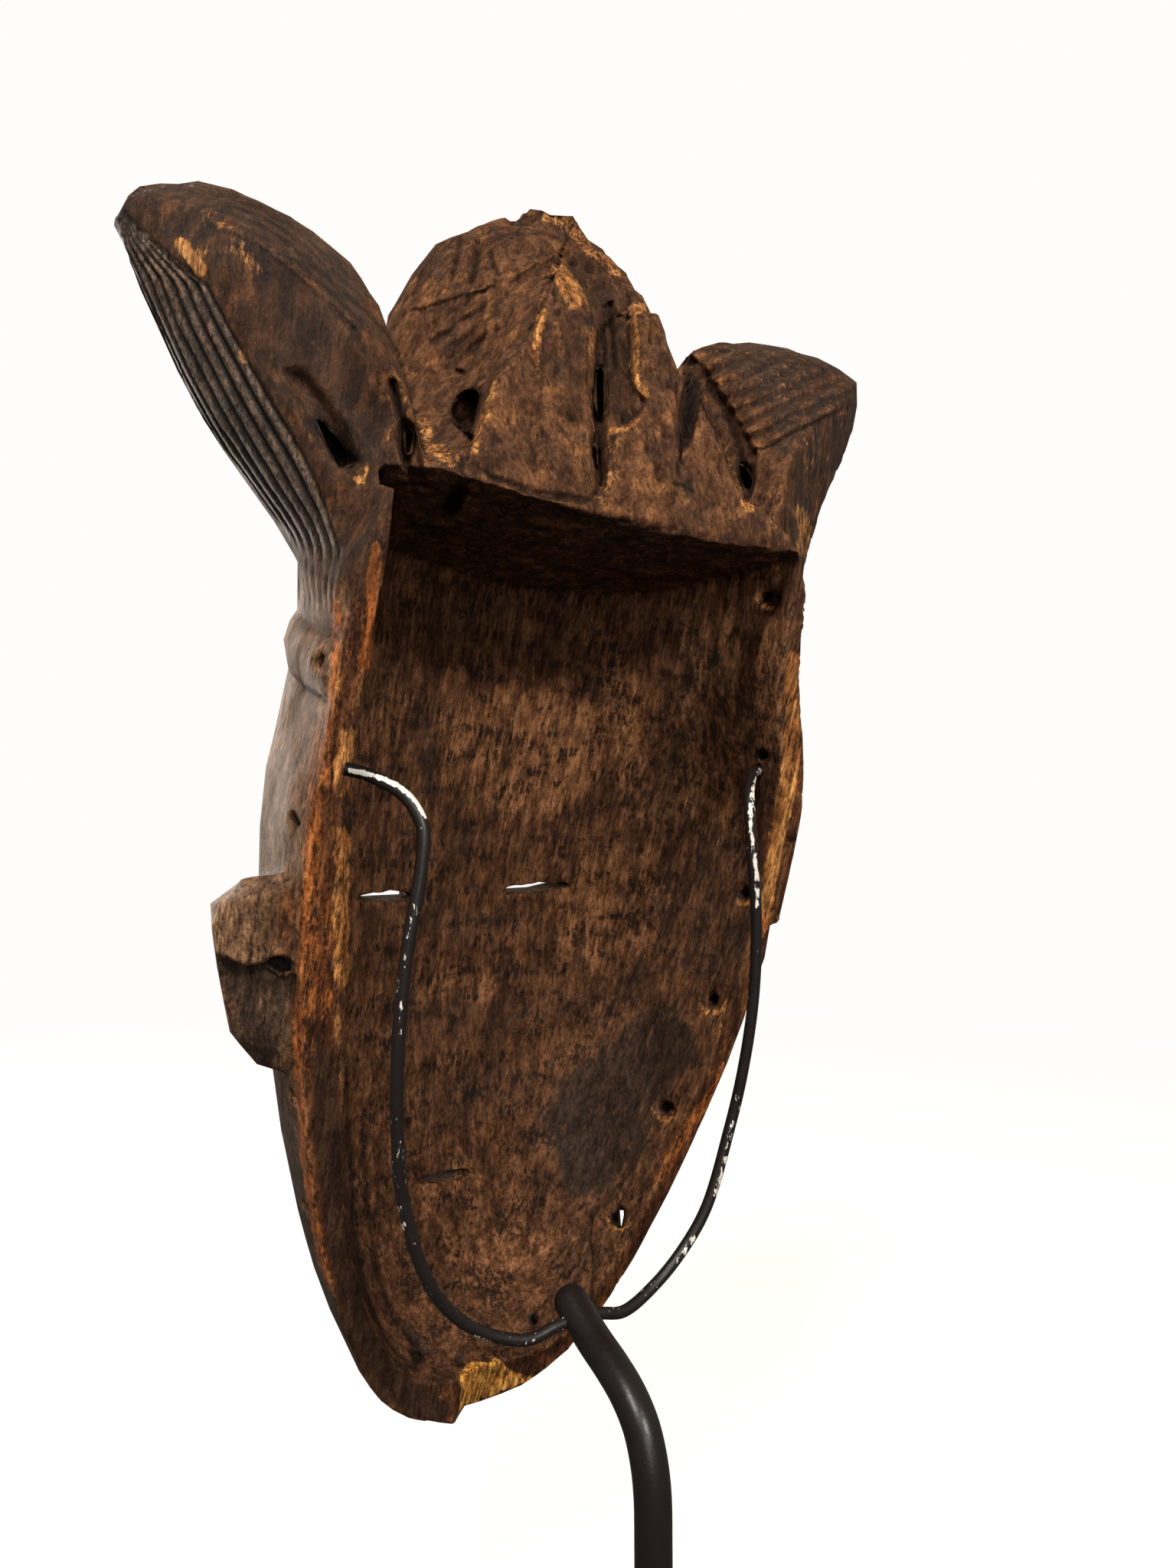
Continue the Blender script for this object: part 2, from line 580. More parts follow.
def ray_through(u, v):
    """The line of sight through a pixel."""
    across = RIGHT * ((u - PHOTO_WIDTH / 2) / FOCAL_PIXELS)
    down = UP * ((v - PHOTO_HEIGHT / 2) / FOCAL_PIXELS)
    return (AHEAD + across - down).normalized()


def line_distance(uv, line):
    """Distance to a line in pixels, and +1 on its right-hand side or -1 on its left."""
    least = np.full(len(uv), np.inf)
    side = np.zeros(len(uv))
    for start, end in zip(line, line[1:]):
        start = np.array(start, float)
        run = np.array(end, float) - start
        share = np.clip((uv - start) @ run / (run @ run), 0, 1)
        off = uv - start - share[:, None] * run
        distance = np.hypot(*off.T)
        closer = distance < least
        least[closer] = distance[closer]
        side[closer] = np.sign(run[0] * off[:, 1] - run[1] * off[:, 0])[closer]
    return least, side


def spot_distance(uv, u, v, across=1, up=1):
    """Distance to a spot in pixels, or in its own radii across and up."""
    return np.hypot((uv[:, 0] - u) / across, (uv[:, 1] - v) / up)


def within(uv, outline, soft):
    """1 well inside an outline, 0 outside it."""
    u, v = uv.T
    odd = np.zeros(len(uv), bool)
    for (a, b), (c, d) in zip(outline, outline[1:] + outline[:1]):
        odd ^= ((b > v) != (d > v)) & (u < (c - a) * (v - b) / (d - b + 1e-9) + a)
    distance, _ = line_distance(uv, outline + outline[:1])
    return smooth(-soft / 2, soft / 2, np.where(odd, distance, -distance))


def sight(points):
    away = points - np.array(CAMERA_PLACE)
    return away / np.linalg.norm(away, axis=1)[:, None]


def seen_share(mesh, points, normals):
    """1 where the camera sees the surface well, 0 where it can't."""
    tree = BVHTree.FromPolygons([tuple(p) for p in points], [tuple(f.vertices) for f in mesh.polygons])
    facing = -(normals * sight(points)).sum(1)
    share = smooth(0.05, 0.3, facing)
    start = points + normals * SIGHT_GAP_MM * MM
    for index in np.nonzero(share > 0)[0]:
        origin = Vector(start[index])
        if tree.ray_cast(origin, CAMERA_PLACE - origin)[0] is not None:
            share[index] = 0
    return share


def photo_relief(uv):
    """Depth along the line of sight in mm of everything that is placed by pixels."""
    depth = np.zeros(len(uv))
    for outline, sunk, soft in SINKS:
        depth += sunk * within(uv, outline, soft)
    for line, sunk, fade in STEPS:
        distance, side = line_distance(uv, line)
        near = np.clip(1 - distance / fade, 0, 1) ** 1.5
        depth += abs(sunk) * near * smooth(0, 4, distance * side * np.sign(sunk))
    for line, half, sunk in GROOVES:
        depth += sunk * smooth(half, 0, line_distance(uv, line)[0])
    for line in LOBE_TOP_LINES:
        depth += 0.6 * smooth(4, 0, line_distance(uv, line)[0])
    for outline, slope, pitch, sunk, rough in RIB_FIELDS:
        depth += sunk * within(uv, outline, 10) * rib_valley(uv, slope, pitch, rough)
    for u, v, size in COUNTERSINKS:
        depth += COUNTERSINK_DEPTH_MM * np.clip(1 - spot_distance(uv, u, v) / size, 0, 1)
    return depth


def photo_dirt(uv):
    """Where dirt has settled in what is placed by pixels, from 0 to 1."""
    dirt = [0.35 * min(sunk / 3, 1) * within(uv, outline, soft + 6) for outline, sunk, soft in SINKS]
    dirt += [0.9 * smooth(half, 0, line_distance(uv, line)[0]) for line, half, _ in GROOVES]
    dirt += [0.6 * smooth(5, 0, line_distance(uv, line)[0]) for line in LOBE_TOP_LINES]
    dirt += [0.7 * rib_valley(uv, slope, pitch, rough) * within(uv, outline, 10)
             for outline, slope, pitch, _, rough in RIB_FIELDS]
    dirt += [(0.6 if name == "left_notch" else 1.6) * within(uv, outline, 8)
             for name, (outline, _) in CUTS.items()]
    dirt += [smooth(size * 1.1, size * 0.7, spot_distance(uv, u, v)) for u, v, size in BORES]
    return np.clip(np.max(dirt, axis=0), 0, 1)


def painted(uv, lines):
    return np.max([strength * smooth(half * 1.3, half * 0.4, line_distance(uv, line)[0])
                   for line, half, strength in lines], axis=0)


def patched(uv, patches):
    return np.max([strength * smooth(1.25, 0.55, spot_distance(uv, u, v, across, up))
                   for u, v, across, up, strength in patches], axis=0)


def rib_valley(uv, slope, pitch, rough):
    """Valleys between parallel ribs, from 0 to 1; rough is how far wear has broken them up."""
    run = math.hypot(1, slope)
    flat = np.c_[uv, 0 * uv[:, 0]]
    wander = noise(flat, (70, 70, 1), 21) * 4 + noise(flat, (14, 14, 1), 22) * (0.6 + rough)
    across = (uv[:, 1] - slope * uv[:, 0]) / run + wander
    along = (uv[:, 0] + slope * uv[:, 1]) / run
    wave = (0.5 - 0.5 * np.cos(2 * math.pi * across / pitch)) ** 1.6
    worn = noise(np.c_[across, along, 0 * along], (pitch * 0.45, pitch * 2.2, 1), 23)
    return np.clip(wave * (1 - 0.35 * rough) + 0.4 * rough * worn, 0, 1)


def circle(u, v, radius):
    turns = np.linspace(0, 2 * math.pi, BORE_SIDES, endpoint=False)
    return [(u + radius * math.cos(turn), v + radius * math.sin(turn)) for turn in turns]


def covered(uv, areas):
    return np.max([strength * within(uv, outline, soft) for outline, soft, strength in areas], axis=0)


def ringed(uv, spots):
    """Pale rims around the tie holes, palest below."""
    return np.max([(0.55 + 0.45 * np.clip((uv[:, 1] - v) / size, -1, 1))
                   * bell(spot_distance(uv, u, v) - size * 0.82, size * 0.22)
                   for u, v, size in spots], axis=0)


def lobe_side(p, n):
    """The ribbed outer side of both lobes, how far across it each point lies, and its width in mm."""
    x, y, z = p.T
    start, end = (np.interp(z, *np.array(edge, float).T[::-1]) for edge in (LOBE_BACK_EDGE, LOBE_FRONT_EDGE))
    place = (start - y) / (start - end)
    outward = smooth(0.15, 0.4, n[:, 0] * np.sign(x)) * (np.abs(x) > LOBE_X)
    room = smooth(43, 50, z) * smooth(-0.01, 0.02, place) * smooth(1.0, 0.96, place)
    return outward * room, place, start - end


def rib_phase(place):
    """0 on the crest of each of a lobe's ribs, 1 in the valley between two."""
    return np.abs((place * LOBE_RIBS) % 1 - 0.5) * 2


def lobe_ribs(p, n):
    """Ribs that run together towards the tip; depth in mm."""
    share, place, width = lobe_side(p, n)
    valley = smooth(0.35, 1, rib_phase(place)) * smooth(0.8, 2.4, width / LOBE_RIBS)
    return share * (0.5 + LOBE_RIB_DEPTH_MM * valley)


def inside_share(p, n):
    """1 on the walls of the hollow, 0 elsewhere."""
    x, y, z = p.T
    axis_z = np.clip(z, *HOLLOW_AXIS_Z)
    away = p - np.stack([0 * z, 0 * z + HOLLOW_AXIS_Y, axis_z], 1)
    facing = -(n * away).sum(1) / (np.linalg.norm(away, axis=1) + 1e-6)
    room = (np.abs(x + 2) < rim_half(z) - 3) & (y < 1.5) & (z > HOLLOW_Z[0]) & (z < HOLLOW_Z[1])
    return smooth(-0.25, 0.1, facing) * room


def rim_half(z):
    """Half the rim's width in mm at a height."""
    fallen = np.clip(RIM_TURN_Z - z, 0, RIM_LENGTH - 0.1) / RIM_LENGTH
    low = RIM_HALF_WIDTH * (1 - fallen ** 1.6) ** 0.465
    high = RIM_HALF_WIDTH - 10 * smooth(-22, 40, z)
    return np.where(z < RIM_TURN_Z, low, high)


def mask_zones(p, n):
    inner = inside_share(p, n)
    crown = smooth(*CROWN_Z, p[:, 2]) * (1 - inner)
    lobe = crown * smooth(58, 70, np.abs(p[:, 0] - 2))
    rear = smooth(0.6, 0.85, n[:, 1]) * smooth(-6, -3, p[:, 1]) * (1 - crown) * (1 - inner)
    skin = (1 - inner) * (1 - crown) * (1 - rear)
    return {"inner": inner, "crown": crown, "lobe": lobe, "rear": rear, "skin": skin}


def neck_relief(p, n):
    """The band roll below the lobes and the folds above it, on both sides."""
    x, y, z = p.T
    side = smooth(0.3, 0.7, n[:, 0] * np.sign(x)) * (np.abs(x) > LOBE_X)
    side = side * smooth(-1, -5, y) * smooth(-66, -54, y)
    roll = 1.5 * bell(z - 20.5, 5.5) + 2.4 * bell(z - 39, 9)
    grooves = 0.9 * (bell(z - 28.5, 1.3) + bell(z - 12.5, 1.3))
    lean = y + 0.3 * z + 1.6 * noise(p, (9, 9, 7), 16)
    folds = 0.6 * (0.5 + 0.5 * np.cos(2 * math.pi * lean / FOLD_PITCH_MM)) ** 2 * bell(z - 39, 6.5)
    return side * (roll - grooves - folds)


def ear_arch(p):
    """How far each point lies below the ridge on the ear's back, and 1 out on the ear."""
    out = np.abs(p[:, 0])
    return np.interp(out, *np.array(EAR_ARCH, float).T) - p[:, 2], smooth(*EAR_X, out)


def ear_relief(p, n):
    """The hollow under a hooked ridge on the back of each ear."""
    z = p[:, 2]
    below, on_ear = ear_arch(p)
    back = smooth(0.2, 0.5, n[:, 1]) * on_ear * smooth(-91, -87, z) * (z < -36)
    hollow = smooth(0, 1.6, below) * (3.0 - 1.9 * smooth(0, 24, below))
    return back * (0.7 * bell(below + 1.4, 1.3) - hollow)


def ear_soot(p, n):
    below, on_ear = ear_arch(p)
    return on_ear * smooth(0, 2, below) * (p[:, 2] > -92) * smooth(-0.2, 0.3, n[:, 1])


def jaw_swell(p, n):
    """The rim stands out a little more at the lower left."""
    return 2.0 * bell(p[:, 2] + 204, 16) * smooth(0.2, 0.6, n[:, 0]) * (p[:, 0] > 20)


def relief(p, n):
    """How far each point moves along its normal, in mm."""
    zones = mask_zones(p, n)
    grain = noise(p, (1.5, 1.5, 26), 3) * 0.12 + noise(p, (3.4, 3.4, 55), 4) * 0.16
    chip = noise(p, (9, 9, 22), 5) + 0.6 * noise(p, (4, 4, 8), 6)
    lump = noise(p, (5, 5, 9), 9) + 0.7 * noise(p, (2.4, 2.4, 4.5), 10)
    pit = -smooth(0.45, 0.9, noise(p, (3, 3, 5), 11))
    gouge = -np.abs(noise(p + noise(p, (30, 30, 30), 8)[:, None] * 4, (8, 8, 34), 7))
    dent = noise(p, (1.7, 1.7, 5.5), 14) * smooth(-0.2, 0.4, noise(p, (14, 14, 9), 15))
    out = zones["inner"] * (grain * 1.3 + 0.5 * gouge + 0.4 * chip + 0.3 * pit + 0.3 * dent)
    ribbed, _, _ = lobe_side(p, n)
    rough = zones["crown"] * (1 - 0.6 * zones["lobe"]) * (1 - 0.85 * ribbed)
    out += rough * (grain * 1.8 + 0.5 * lump + 0.7 * pit + 0.45 * chip)
    out += zones["rear"] * (grain * 1.2 + 0.2 * chip + 0.3 * pit)
    out += zones["skin"] * (grain * 0.5 + 0.08 * chip)
    top = smooth(112, 132, p[:, 2]) * zones["crown"]
    crumbled = 0.9 * smooth(0, 0.8, noise(p, (6, 6, 6), 12)) + 0.6 * smooth(0.2, 0.9, noise(p, (3, 3, 3), 13))
    out -= top * crumbled
    return out + neck_relief(p, n) + ear_relief(p, n) + jaw_swell(p, n)


def cutter(name, outline, reach, tree):
    """A tapering tool through an outline in pixels, from in front of the surface to behind it."""
    rays = [ray_through(u, v) for u, v in outline]
    hits = [tree.ray_cast(CAMERA_PLACE, ray)[3] for ray in rays]
    middle_hit = float(np.median([h for h in hits if h]))
    low, high = middle_hit - CUT_RANGE_MM * MM, middle_hit + CUT_RANGE_MM * MM
    depths = [float(np.clip(h or middle_hit, low, high)) for h in hits]
    front = [CAMERA_PLACE + ray * (depth - CUT_LEAD_MM * MM) for ray, depth in zip(rays, depths)]
    rear = [CAMERA_PLACE + ray * (depth + reach * MM) for ray, depth in zip(rays, depths)]
    middle = sum(rear, Vector()) / len(rear)
    return solid(name, [front, [middle.lerp(place, CUT_TAPER) for place in rear]], triangles=True)


def cut_deep(piece):
    """Cut the narrow deep clefts and holes out of the solid, along the lines of sight."""
    work = welded(piece.data)
    tree = BVHTree.FromBMesh(work)
    work.to_mesh(piece.data)
    work.free()
    tools = [cutter(name, outline, reach, tree) for name, (outline, reach) in CUTS.items()]
    tools += [cutter("bore", circle(*spot), BORE_DEPTH_MM, tree) for spot in BORES]
    for tool in tools:
        cut = piece.modifiers.new(tool.name, "BOOLEAN")
        cut.operation = "DIFFERENCE"
        cut.solver = "EXACT"
        cut.object = tool
    settle(piece)
    for tool in tools:
        bpy.data.objects.remove(tool)


def wear_down(points):
    """Lower whatever shows above the line that the worn top follows."""
    u, v = photo_place(points).T
    line = np.array(CREST_LINE, float)
    over = np.interp(u, line[:, 0], line[:, 1]) - v
    over *= (u > line[0, 0]) & (u < line[-1, 0]) & (over > 0)
    depth = (points - np.array(CAMERA_PLACE)) @ np.array(AHEAD)
    points[:, 2] -= over * depth / FOCAL_PIXELS
    return points


def soften(piece, ridges, rounded, kept):
    """Round the solid's ridges and facets, but leave the edges that are kept."""
    points, _, edges = arrays(piece.data)
    free = smooth(SHARP_KEEP_MM, SHARP_FREE_MM, nearest(points, kept)[1])[:, None]
    index, distance = nearest(points, ridges)
    points += (rounded - ridges)[index] * smooth(RIDGE_REACH_MM, 0, distance)[:, None]
    relax(points, edges, SMOOTH_SHARE * free, SMOOTH_ROUNDS)
    relax(points, edges, 0.4, 2)
    move_to(piece.data, points)


def carve(piece):
    """Press the fine relief into the mask; returns where its mesh may become coarse, from 0 to 1."""
    points, normals, _ = arrays(piece.data)
    p, n = to_mask(points), lean_back(normals)
    seen = seen_share(piece.data, points, normals)
    p += n * (relief(p, n) - lobe_ribs(p, n))[:, None]
    points = to_row(p) + sight(points) * (photo_relief(photo_place(points)) * seen)[:, None] * MM
    move_to(piece.data, wear_down(points))
    return 1 - seen * (0.45 + 0.4 * smooth(*CROWN_Z, p[:, 2]))


def thin_out(piece, coarse):
    """Bring the mask down to its number of triangles."""
    group = piece.vertex_groups.new(name="coarse")
    for level in COARSE_LEVELS:
        chosen = np.nonzero(np.abs(coarse - level) <= COARSE_STEP / 2)[0]
        group.add(chosen.tolist(), level, "REPLACE")
    thin = piece.modifiers.new("thin", "DECIMATE")
    thin.vertex_group = "coarse"
    thin.vertex_group_factor = 0.5
    thin.ratio = min(1.0, MASK_TRIANGLES / (2.0 * len(piece.data.polygons)))
    settle(piece)


def stand_in(piece, node, material):
    """Put a piece in the place of a CAD node."""
    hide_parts(node)
    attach(piece, "root")
    piece.data.materials.clear()
    piece.data.materials.append(material)


def make_mask(frame):
    piece = new_piece("mask_carving", frame["nodes"]["mask"].data.copy())
    ridges, links, free = sharp_ridges(piece.data)
    rounded = ridges.copy()
    relax(rounded, links, 0.5 * free, RIDGE_ROUNDS)
    cut_deep(piece)
    kept, _, _ = sharp_ridges(piece.data)
    remesh = piece.modifiers.new("even", "REMESH")
    remesh.mode = "VOXEL"
    remesh.voxel_size = VOXEL_MM * MM
    settle(piece)
    soften(piece, ridges, rounded, kept)
    thin_out(piece, carve(piece))
    move_to(piece.data, np.clip(arrays(piece.data)[0], *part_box("mask")))
    shade_smooth(piece.data)
    mark_zones(piece.data)
    stand_in(piece, "mask", old_wood())


def add_mark(mesh, name, values):
    mark = mesh.attributes.new(name, "FLOAT", "POINT")
    mark.data.foreach_set("value", np.asarray(values, np.float32))


def curvature(points, normals, edges):
    """How far each point stands out from its neighbours, in mm, evened out a little."""
    degree = neighbour_counts(edges, len(points))
    lengths = np.linalg.norm(points[edges[:, 0]] - points[edges[:, 1]], axis=1)
    step = np.bincount(edges.ravel(), np.repeat(lengths, 2), len(points)) / degree / MM
    out = ((points - neighbour_mean(points, edges, degree)) * normals).sum(1) / MM
    curve = (out * np.minimum(1, VOXEL_MM / step))[:, None]
    relax(curve, edges, SMOOTH_SHARE, CURVE_ROUNDS)
    return curve[:, 0]


def mark_zones(mesh):
    """Store what the materials need to know at each point of the mask."""
    points, normals, edges = arrays(mesh)
    p, n = to_mask(points), lean_back(normals)
    curve = curvature(points, normals, edges)
    uv = photo_place(points)
    seen = smooth(0.0, 0.4, seen_share(mesh, points, normals))
    side, place, _ = lobe_side(p, n)
    off_crest = rib_phase(place)
    hollow = np.maximum(photo_dirt(uv) * seen, 0.8 * smooth(0.4, 0.9, off_crest) * side)
    golden = np.maximum(0.88 * painted(uv, GOLD_LINES), 1.2 * ringed(uv, COUNTERSINKS))
    dark = np.maximum(covered(uv, TAR_AREAS), patched(uv, DARK_PATCHES)) * seen
    marks = {
        **mask_zones(p, n),
        "ribbed": side,
        "crest": smooth(0.55, 0.1, off_crest) * side,
        "upward": smooth(0.2, 0.85, normals[:, 2]),
        "worn": smooth(0.03, 0.16, curve),
        "deep": np.maximum(smooth(0.015, 0.12, -curve), hollow),
        "gold": golden * seen,
        "rust": painted(uv, RUST_LINES) * seen,
        "soot": painted(uv, SOOT_LINES) * seen,
        "dark": np.maximum(dark, 0.74 * ear_soot(p, n)),
        "low": smooth(-62, -135, p[:, 2]),
        "tan": patched(uv, TAN_PATCHES) * seen,
        "fresh": within(uv, FRESH_OUTLINE, 8) * seen,
    }
    for name, values in marks.items():
        add_mark(mesh, name, values)


class Nodes:
    """Short calls for a node tree; a value is a socket, a number, a vector or a colour."""

    def __init__(self, tree):
        self.tree = tree

    def node(self, kind, inputs=None, **settings):
        made = self.tree.nodes.new(kind)
        for name, value in settings.items():
            setattr(made, name, value)
        self.fill(made, inputs or {})
        return made

    def fill(self, node, inputs):
        for name, value in inputs.items():
            if isinstance(value, bpy.types.NodeSocket):
                self.tree.links.new(value, node.inputs[name])
            elif node.inputs[name].type == "RGBA":
                node.inputs[name].default_value = (*value, 1.0)
            else:
                node.inputs[name].default_value = value

    def mark(self, name):
        return self.node("ShaderNodeAttribute", attribute_name=name).outputs["Fac"]

    def place(self, size, lean):
        """Coordinates along the mask's grain, in cells of a size in mm."""
        turn = {"Vector": self.coordinates("Object"), "Rotation": (LEAN if lean else 0, 0, 0)}
        turned = self.node("ShaderNodeMapping", turn).outputs[0]
        scale = [1 / MM / s for s in size]
        return self.node("ShaderNodeMapping", {"Vector": turned, "Scale": scale}).outputs[0]

    def coordinates(self, kind):
        return self.node("ShaderNodeTexCoord").outputs[kind]

    def cloud(self, size, detail=4, rough=0.55, lean=True):
        inputs = {"Vector": self.place(size, lean), "Scale": 1.0, "Detail": detail, "Roughness": rough}
        return self.node("ShaderNodeTexNoise", inputs).outputs["Fac"]

    def ramp(self, value, low, high, start=0.0, end=1.0, kind="LINEAR"):
        inputs = {"Value": value, "From Min": low, "From Max": high, "To Min": start, "To Max": end}
        return self.node("ShaderNodeMapRange", inputs, interpolation_type=kind).outputs["Result"]

    def band(self, value, low, high):
        return self.ramp(value, low, high, kind="SMOOTHSTEP")

    def spread(self, share, grain):
        """A painted share with its edges broken up by the grain."""
        return self.band(self.plus(share, self.times(grain, 2.4)), 1.65, 2.1)

    def math(self, operation, a, b):
        return self.node("ShaderNodeMath", {0: a, 1: b}, operation=operation).outputs[0]

    def times(self, a, b):
        return self.math("MULTIPLY", a, b)

    def plus(self, a, b):
        return self.math("ADD", a, b)

    def blend(self, share, first, second, kind="MIX"):
        inputs = {0: share, 6: first, 7: second}
        return self.node("ShaderNodeMix", inputs, data_type="RGBA", blend_type=kind).outputs[2]

    def stain(self, colour, share, strength, tone):
        return self.blend(self.times(share, strength), colour, tone)

    def tint(self, colour, by):
        return self.blend(1.0, colour, by, "MULTIPLY")

    def bump(self, height, depth_mm, strength, below=None):
        inputs = {"Height": height, "Distance": depth_mm * MM, "Strength": strength}
        if below:
            inputs["Normal"] = below
        return self.node("ShaderNodeBump", inputs).outputs[0]


class Shader(Nodes):
    """A new material with one surface."""

    def __init__(self, name):
        self.material = bpy.data.materials.new(name)
        self.material.use_nodes = True
        super().__init__(self.material.node_tree)
        self.tree.nodes.clear()
        self.surface = self.node("ShaderNodeBsdfPrincipled")
        self.output = self.node("ShaderNodeOutputMaterial", {"Surface": self.surface.outputs[0]})

    def finish(self, inputs):
        """Give the surface its values and return the material."""
        self.fill(self.surface, inputs)
        return self.material


def wood_tone(s, grit, fibre, broad, blotch):
    """The colour of each zone of the mask before wear and dirt."""
    inner = s.blend(s.band(broad, 0.36, 0.64), (0.074, 0.033, 0.0155), (0.165, 0.073, 0.033))
    inner = s.blend(s.spread(s.mark("tan"), broad), inner, (0.26, 0.118, 0.052))
    smear = s.times(s.band(s.cloud((14, 14, 6), 5, 0.7), 0.49, 0.58), s.band(fibre, 0.56, 0.46))
    inner = s.stain(inner, smear, 0.85, (0.026, 0.014, 0.010))
    crown = s.blend(s.band(blotch, 0.38, 0.62), (0.070, 0.032, 0.017), (0.140, 0.062, 0.028))
    spot = s.cloud((7, 7, 10), 5, 0.7)
    crown = s.stain(crown, s.band(spot, 0.5, 0.64), 0.8, (0.24, 0.105, 0.040))
    crown = s.stain(crown, s.band(s.cloud((8, 8, 12), 4, 0.6), 0.56, 0.68), 0.7, (0.032, 0.020, 0.016))
    lobe = s.blend(s.band(spot, 0.36, 0.62), (0.030, 0.015, 0.0085), (0.070, 0.029, 0.012))
    lobe = s.stain(lobe, s.band(s.cloud((6, 6, 9), 4, 0.6), 0.54, 0.64), 0.6, (0.15, 0.060, 0.022))
    skin = s.blend(s.band(blotch, 0.36, 0.66), (0.14, 0.069, 0.033), (0.27, 0.155, 0.084))
    skin = s.blend(s.mark("low"), skin, (0.050, 0.029, 0.019))
    rear = s.blend(s.band(broad, 0.36, 0.62), (0.06, 0.022, 0.010), (0.14, 0.052, 0.018))
    crest = s.times(s.mark("crest"), s.band(grit, 0.3, 0.6))
    ribbed = s.blend(crest, (0.032, 0.023, 0.018), (0.19, 0.130, 0.090))
    colour = s.blend(s.mark("crown"), skin, crown)
    colour = s.blend(s.mark("lobe"), colour, lobe)
    colour = s.stain(colour, s.mark("upward"), 0.4, (0.080, 0.042, 0.021))
    colour = s.blend(s.mark("ribbed"), colour, ribbed)
    colour = s.blend(s.mark("rear"), colour, rear)
    return s.blend(s.mark("inner"), colour, inner)


def wood_wear(s, colour, fine, grit, fibre, broad):
    """Worn edges, painted streaks and the dirt in hollows, over the zone tones."""
    flake = s.plus(s.times(fibre, 0.6), s.times(grit, 0.4))
    colour = s.stain(colour, s.spread(s.mark("rust"), flake), 0.9, (0.34, 0.105, 0.026))
    clots = s.plus(s.times(s.cloud((3, 3, 9), 5, 0.75), 0.6), s.times(flake, 0.4))
    tarred = s.band(s.plus(s.mark("dark"), s.times(clots, 2.4)), 1.74, 1.92)
    colour = s.stain(colour, tarred, 0.88, (0.034, 0.020, 0.013))
    worn = s.times(s.times(s.mark("worn"), s.band(broad, 0.38, 0.58)), s.band(grit, 0.38, 0.58))
    colour = s.stain(colour, worn, 0.8, (0.30, 0.135, 0.050))
    colour = s.blend(s.spread(s.mark("soot"), flake), colour, (0.042, 0.020, 0.011))
    soft = s.blend(s.mark("rear"), flake, s.plus(s.times(fibre, 0.45), s.times(broad, 0.55)))
    golden = s.blend(s.band(broad, 0.4, 0.6), (0.34, 0.130, 0.036), (0.58, 0.27, 0.082))
    colour = s.stain(colour, s.spread(s.times(s.mark("gold"), 0.95), soft), 0.85, golden)
    colour = s.stain(colour, s.mark("deep"), 0.85, (0.010, 0.005, 0.003))
    yellow = s.blend(s.band(fine, 0.38, 0.62), (0.36, 0.130, 0.024), (0.92, 0.46, 0.10))
    return s.blend(s.spread(s.mark("fresh"), broad), colour, yellow)


def old_wood():
    """Dark patinated wood: tones by zone, wear on edges and dirt in hollows, over a vertical grain."""
    s = Shader("old_wood")
    fine = s.cloud((0.8, 0.8, 14), 5, 0.7)
    grit = s.cloud((0.9, 0.9, 1.7), 4, 0.75)
    fibre = s.cloud((1.4, 1.4, 6), 4, 0.7)
    broad = s.cloud((7, 7, 22), 5, 0.7)
    blotch = s.cloud((22, 22, 30), 5, 0.65)
    colour = wood_wear(s, wood_tone(s, grit, fibre, broad, blotch), fine, grit, fibre, broad)
    texture = s.plus(s.plus(s.times(fine, 0.3), s.times(grit, 0.35)), s.times(fibre, 0.35))
    streak = s.blend(s.band(texture, 0.39, 0.61), (0.20, 0.18, 0.18), (1.9, 1.9, 1.9))
    calm = s.blend(s.band(texture, 0.37, 0.63), (0.42, 0.40, 0.40), (1.5, 1.5, 1.5))
    streak = s.blend(s.plus(s.mark("crown"), s.times(s.mark("inner"), 0.6)), streak, calm)
    patch = s.band(s.cloud((3.2, 3.2, 9), 4, 0.6), 0.38, 0.62)
    patch = s.blend(patch, (0.62, 0.58, 0.56), (1.35, 1.33, 1.30))
    polished = s.plus(s.times(s.mark("skin"), 0.5), s.times(s.mark("ribbed"), 0.6))
    for name, share in (("dark", 0.4), ("lobe", 0.3)):
        polished = s.math("MAXIMUM", polished, s.times(s.mark(name), share))
    return s.finish({
        "Base Color": s.tint(colour, s.tint(streak, patch)),
        "Roughness": 0.85,
        "Specular IOR Level": 0.15,
        "Normal": s.bump(grit, 0.9, 0.8, s.bump(fibre, 1.1, 0.8, s.bump(fine, 0.7, 0.9))),
        "Coat Weight": s.times(polished, s.band(blotch, 0.25, 0.55)),
        "Coat Roughness": 0.32,
        "Coat Normal": s.bump(fine, 0.6, 0.9, s.bump(grit, 0.6, 0.8)),
    })


def black_paint(name, rough, chips):
    """Black paint, chipped to a pale primer if asked for."""
    s = Shader(name)
    blotch = s.cloud((6, 6, 6), 4, 0.6, lean=False)
    colour = s.blend(blotch, (0.007, 0.005, 0.005), (0.014, 0.010, 0.009))
    if chips:
        grain = s.cloud((1.1, 1.1, 2.6), 4, 0.65, lean=False)
        area = s.band(s.cloud((9, 9, 16), 2, 0.5, lean=False), 0.5, 0.6)
        marked = s.band(s.plus(s.mark("chipped"), s.times(grain, 1.6)), 1.5, 1.6)
        spot = s.math("MAXIMUM", s.times(s.band(grain, 0.62, 0.68), area), marked)
        colour = s.blend(spot, colour, (0.74, 0.70, 0.63))
    return s.finish({
        "Base Color": colour,
        "Roughness": rough,
        "Specular IOR Level": 0.35,
        "Normal": s.bump(s.cloud((1.2, 1.2, 1.2), 3, 0.5, lean=False), 0.15, 0.4),
    })


